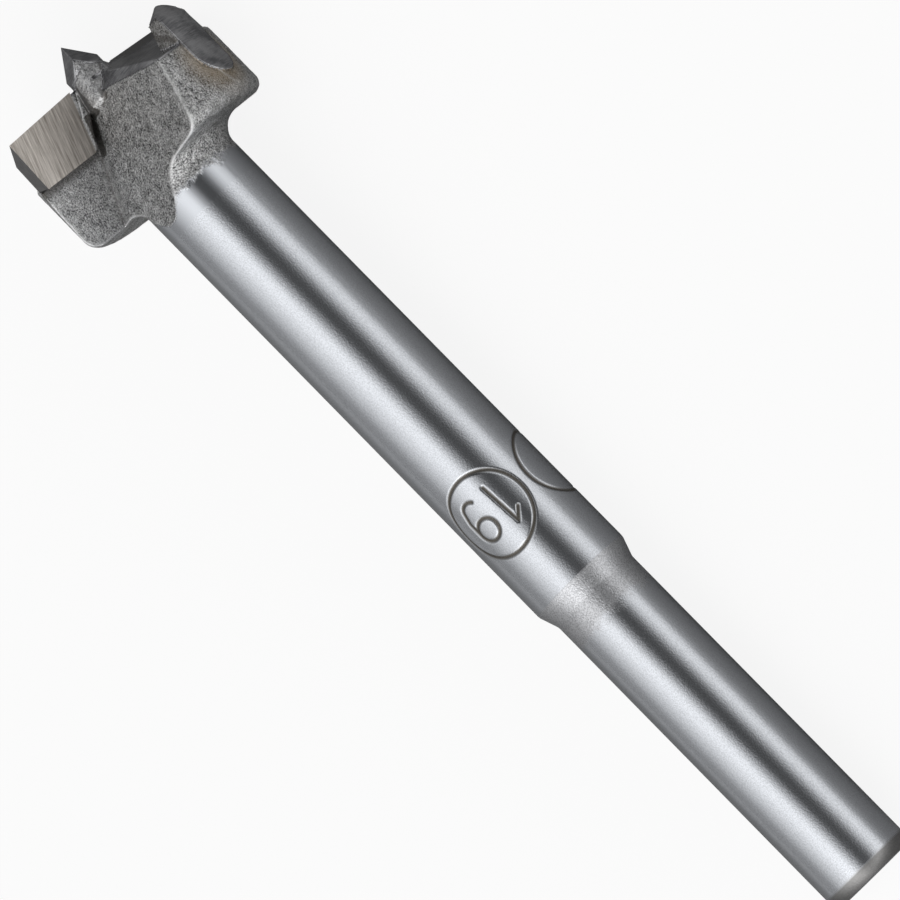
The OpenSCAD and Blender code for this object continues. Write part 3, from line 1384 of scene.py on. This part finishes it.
@dataclass
class TurnedBody:
    """Shank, step cone and body, turned in one and engraved with the size.

    Each mark is a ring, given by its turn about the axis in degrees, the height
    of its middle and its radius. The first ring holds the number.
    """

    lie: Lie
    shank_r: float = 3.95
    shank_l: float = 30.4
    shank_rings: Span = (12.0, 24.0)
    step_l: float = 1.7
    step_ease: Span = (0.02, 0.03)
    body_rings: Span = (34.5, 55.0)
    end_bevel_r: float = 0.65
    bevel_lift: float = 0.04
    bevel_dullness: float = 0.75
    soft: float = 0.12
    mark_z: float = 40.1
    mark_reach: float = 4.0
    marks: tuple[tuple[float, float, float], ...] = (
        (-112.2, 40.05, 3.52),
        (-14.0, 40.37, 3.15),
    )
    groove_w: float = 0.34
    groove_depth: float = 0.085
    groove_flank: Span = (0.25, 0.62)
    cell: float = 0.085
    strokes: tuple[Stroke, ...] = (
        Stroke(((-1.14, -1.85), (-1.4, 1.85), (-2.15, 1.0))),
        Stroke(arc((0.94, 0.7), 0.95, 0, 360, 28)),
        Stroke(
            ((1.91, 0.75), (1.91, -0.6), (1.61, -1.45))
            + arc((0.91, -1.2), 0.75, -25, -140, 8)
        ),
    )

    def outline(self) -> list[Span]:
        """Draws the turned form, with close rings where the marks are.

        Returns:
            Radius and height of each ring.
        """
        soft = self.soft
        bevel_r = self.shank_r - self.end_bevel_r
        step_z = self.shank_l + self.step_l
        low = self.mark_z - self.mark_reach
        count = round(2 * self.mark_reach / self.cell)
        return [
            (0.0, 0.0),
            (bevel_r - soft, 0.0),
            (bevel_r, self.bevel_lift),
            (self.shank_r - soft / 2, END_BEVEL_L - soft),
            (self.shank_r, END_BEVEL_L + soft),
            *((self.shank_r, height) for height in self.shank_rings),
            (self.shank_r, self.shank_l - soft),
            (self.shank_r + self.step_ease[0], self.shank_l + soft),
            (BODY_R - self.step_ease[1], step_z - soft),
            (BODY_R, step_z + soft),
            (BODY_R, self.body_rings[0]),
            *((BODY_R, low + i * self.cell) for i in range(count + 1)),
            (BODY_R, self.body_rings[1]),
            (BODY_R, HEAD_Z),
        ]

    def groove_share(self, spot: Vector) -> float:
        """Finds how deep the engraving is at a point of the body.

        Args:
            spot: The point, in upright millimetres.

        Returns:
            The share of the full depth.
        """
        if abs(spot.z - self.mark_z) > self.mark_reach:
            return 0.0
        turn = math.atan2(spot.y, spot.x)
        least = math.inf
        for number, (middle, middle_z, ring_r) in enumerate(self.marks):
            up = middle_z - spot.z
            swing = turn - math.radians(middle)
            swing = math.atan2(math.sin(swing), math.cos(swing))
            right = -swing * BODY_R
            least = min(least, abs(math.hypot(right, up) - ring_r))
            if number == 0 and abs(right) < ring_r:
                least = min(least, *(s.distance(right, up) for s in self.strokes))
        inner, outer = (share * self.groove_w for share in self.groove_flank)
        return 1 - smooth_step(inner, outer, least)

    def build(self, finish: bpy.types.Material) -> bpy.types.Object:
        """Makes the shank and body.

        Args:
            finish: The polished steel.

        Returns:
            The piece.
        """
        form = lathe(self.outline(), round(2 * math.pi * BODY_R / self.cell))
        bmesh.ops.recalc_face_normals(form, faces=form.faces)
        groove = form.verts.layers.float.new("groove")
        for vert in form.verts:
            share = self.groove_share(vert.co)
            if share > 0:
                vert[groove] = share
                sunk = (BODY_R - share * self.groove_depth) / BODY_R
                vert.co.x *= sunk
                vert.co.y *= sunk
            elif 0 < vert.co.z < END_BEVEL_L:
                vert[groove] = self.bevel_dullness
        return self.lie.piece("shank_and_body", form, finish)


@dataclass(frozen=True)
class Blade:
    """A carbide blade: the CAD node, with a finish for each kind of face."""

    lie: Lie
    node: str
    wing: Wing
    side_colour: str = "#929190"
    side_dark_colour: str = "#757476"
    side_roughness: float = 0.3
    front_share: float = 0.97

    def dress(self) -> None:
        """Gives the front face its lines and the other faces a dark grind."""
        face = BladeFrame(self.wing)
        side = self.wing.name.lower()
        lined = GroundCarbide(f"ground_carbide_face_{side}", face)
        plain = GroundCarbide(
            f"ground_carbide_sides_{side}",
            face,
            colour=self.side_colour,
            dark_colour=self.side_dark_colour,
            roughness=self.side_roughness,
        )
        look = self.lie.rotation.to_3x3() @ face.front
        mesh = bpy.data.objects[self.node].data
        mesh.materials.clear()
        for finish in (lined, plain):
            mesh.materials.append(finish.material(self.lie))
        for flat in mesh.polygons:
            flat.material_index = 0 if flat.normal.dot(look) > self.front_share else 1
        LOG.info("%s: face and sides", self.node)


@dataclass(frozen=True)
class LightTent:
    """Soft boxes along both sides of the bit, as levels of light round it.

    Each level has its turn about the bit's axis in degrees. The light falls
    off towards the point's end of the tent and rises towards the shank's end.
    """

    lie: Lie
    levels: tuple[Span, ...] = (
        (-180, 0.20),
        (-130, 0.24),
        (-92, 0.38),
        (-62, 0.92),
        (-41, 1.28),
        (-27, 1.28),
        (-11, 0.48),
        (0, 0.10),
        (16, 0.08),
        (26, 0.20),
        (40, 0.76),
        (51, 1.06),
        (60, 0.94),
        (78, 0.45),
        (100, 0.20),
        (130, 0.12),
        (180, 0.20),
    )
    brightest: float = 1.3
    far_share: float = 0.25
    far_span: Span = (0.15, 0.9)
    near_share: float = 2.1
    near_span: Span = (-0.1, -0.8)

    def build(self) -> None:
        """Makes the world: the tent for the bit, and white for the camera."""
        world = bpy.data.worlds.new("light_tent")
        bpy.context.scene.world = world
        world.use_nodes = True
        tree = world.node_tree
        tree.nodes.clear()
        look = add_node(tree, "ShaderNodeTexCoord")
        upright = add_node(
            tree,
            "ShaderNodeMapping",
            {
                "Vector": look.outputs["Generated"],
                "Rotation": self.lie.rotation.to_euler(),
            },
            vector_type="TEXTURE",
        )
        parts = add_node(tree, "ShaderNodeSeparateXYZ", {0: upright.outputs[0]})
        away = add_node(
            tree, "ShaderNodeMath", {0: parts.outputs["Y"], 1: -1.0}, operation="MULTIPLY"
        )
        turn = add_node(
            tree,
            "ShaderNodeMath",
            {0: parts.outputs["X"], 1: away.outputs[0]},
            operation="ARCTAN2",
        )
        share = add_node(
            tree,
            "ShaderNodeMapRange",
            {"Value": turn.outputs[0], "From Min": -math.pi, "From Max": math.pi},
        )
        ramp = add_node(tree, "ShaderNodeValToRGB", {"Fac": share.outputs[0]})
        stops = ramp.color_ramp.elements
        for angle, _ in self.levels[1:-1]:
            stops.new((angle + 180) / 360)
        for stop, (angle, level) in zip(stops, self.levels):
            stop.position = (angle + 180) / 360
            grey = level / self.brightest
            stop.color = (grey, grey, grey, 1.0)
        fall, rise = (
            add_node(
                tree,
                "ShaderNodeMapRange",
                {
                    "Value": parts.outputs["Z"],
                    "From Min": start,
                    "From Max": end,
                    "To Min": level,
                    "To Max": level * end_share,
                },
                interpolation_type="SMOOTHSTEP",
            ).outputs[0]
            for (start, end), level, end_share in (
                (self.far_span, self.brightest, self.far_share),
                (self.near_span, 1.0, self.near_share),
            )
        )
        strength = add_node(
            tree, "ShaderNodeMath", {0: fall, 1: rise}, operation="MULTIPLY"
        )
        tent = add_node(
            tree,
            "ShaderNodeBackground",
            {"Color": ramp.outputs["Color"], "Strength": strength.outputs[0]},
        )
        white = add_node(tree, "ShaderNodeBackground", {"Color": (1, 1, 1, 1)})
        path = add_node(tree, "ShaderNodeLightPath")
        mixed = add_node(
            tree,
            "ShaderNodeMixShader",
            {0: path.outputs["Is Camera Ray"], 1: tent.outputs[0], 2: white.outputs[0]},
        )
        add_node(tree, "ShaderNodeOutputWorld", {"Surface": mixed.outputs[0]})
        LOG.info("light tent: %d levels", len(self.levels))


@dataclass(frozen=True)
class Table:
    """A plain pale table top that the bit lies on, with sizes in metres.

    Light that it throws back at the bit is darker close to the bit, where a painted
    shadow of the bit lies on it.
    """

    half: float = 1.2
    colour: str = "#bcbcbc"
    # Painted shadow colour close to the bit, seen in reflections and bounce light.
    painted_near_shade_colour: str = "#808080"
    bit_half_l: float = 0.045
    dark_span: Span = (0.004, 0.05)
    shadow_share: float = 0.12
    paper_level: float = 0.95

    def build(self) -> None:
        """Makes the table, white to the camera with a faint shadow."""
        form = bmesh.new()
        bmesh.ops.create_grid(form, x_segments=1, y_segments=1, size=self.half)
        made = place_object("table", form)
        made.data.materials.append(self.paper())

    def paper(self) -> bpy.types.Material:
        """Makes the pale paper of the table.

        Returns:
            The material.
        """
        paper = bpy.data.materials.new("pale_paper")
        paper.use_nodes = True
        tree = paper.node_tree
        tree.nodes.clear()
        place = add_node(tree, "ShaderNodeTexCoord")
        parts = add_node(tree, "ShaderNodeSeparateXYZ", {0: place.outputs["Object"]})
        beside, beyond = (
            add_node(
                tree, "ShaderNodeMath", {0: parts.outputs[way]}, operation="ABSOLUTE"
            ).outputs[0]
            for way in ("Y", "X")
        )
        past_end = add_node(
            tree,
            "ShaderNodeMath",
            {0: beyond, 1: self.bit_half_l},
            operation="SUBTRACT",
        )
        off = add_node(
            tree,
            "ShaderNodeMath",
            {0: beside, 1: past_end.outputs[0]},
            operation="MAXIMUM",
        )
        # Painted shadow of the bit, for rays other than the camera's: darker near the
        # bit.
        start, end = self.dark_span
        far = add_node(
            tree,
            "ShaderNodeMapRange",
            {"Value": off.outputs[0], "From Min": start, "From Max": end},
        )
        tone = add_node(
            tree,
            "ShaderNodeMix",
            {
                "Factor": far.outputs[0],
                MIX_FIRST: linear(self.painted_near_shade_colour),
                MIX_SECOND: linear(self.colour),
            },
            data_type="RGBA",
        )
        grey = add_node(
            tree, "ShaderNodeBsdfDiffuse", {"Color": tone.outputs[MIX_RESULT]}
        )
        level = self.paper_level
        white = add_node(tree, "ShaderNodeBsdfDiffuse", {"Color": (level,) * 3 + (1,)})
        glow = add_node(tree, "ShaderNodeEmission", {"Color": (1, 1, 1, 1)})
        bright = add_node(
            tree,
            "ShaderNodeMixShader",
            {0: self.shadow_share, 1: glow.outputs[0], 2: white.outputs[0]},
        )
        path = add_node(tree, "ShaderNodeLightPath")
        seen = add_node(
            tree,
            "ShaderNodeMixShader",
            {0: path.outputs["Is Camera Ray"], 1: grey.outputs[0], 2: bright.outputs[0]},
        )
        add_node(tree, "ShaderNodeOutputMaterial", {"Surface": seen.outputs[0]})
        return paper


@dataclass(frozen=True)
class PhotoView:
    """The camera, fitted to the photograph's view of the bit."""

    lie: Lie
    distance: float = 500.0
    tilt: float = 5.9
    axis_angle: float = 45.51
    target: tuple[float, float, float] = (-0.34, 0.0, 46.18)
    pixels_per_mm: float = 12.96
    frame_px: float = 900.0
    sensor: float = 36.0
    clip: Span = (0.01, 20.0)

    def build(self) -> None:
        """Makes the camera and hands it to the scene."""
        tilt, roll = math.radians(self.tilt), math.radians(self.axis_angle)
        back = Vector((0, -math.cos(tilt), -math.sin(tilt)))
        to_point = Vector((0, 0, 1)) - back * back.z
        to_point.normalize()
        across = Vector((1, 0, 0))
        right = across * math.sin(roll) - to_point * math.cos(roll)
        up = across * math.cos(roll) + to_point * math.sin(roll)
        turn = self.lie.rotation.to_3x3() @ Matrix((right, up, back)).transposed()
        spot = self.lie.matrix @ (Vector(self.target) + back * self.distance)
        lens = bpy.data.cameras.new("photo_view")
        lens.sensor_width = self.sensor
        lens.lens = self.pixels_per_mm * self.distance * self.sensor / self.frame_px
        lens.clip_start, lens.clip_end = self.clip
        camera = bpy.data.objects.new("photo_view", lens)
        camera.matrix_world = Matrix.Translation(spot) @ turn.to_4x4()
        bpy.context.scene.collection.objects.link(camera)
        bpy.context.scene.camera = camera


def main() -> None:
    """Builds the bit, its light, its table and the camera."""
    logging.basicConfig(level=logging.INFO, format="%(name)s: %(message)s")
    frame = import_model()
    bpy.context.scene.view_settings.view_transform = "Standard"
    lie = Lie(frame["record"])
    PhotoView(lie).build()
    LightTent(lie).build()
    Table().build()
    ForgedHead(lie).build(ForgedSteel().material(lie))
    TurnedBody(lie).build(PolishedSteel().material(lie))
    for node, wing in zip(BLADE_NODES, Wing):
        Blade(lie, node, wing).dress()


if __name__ == "__main__":
    main()
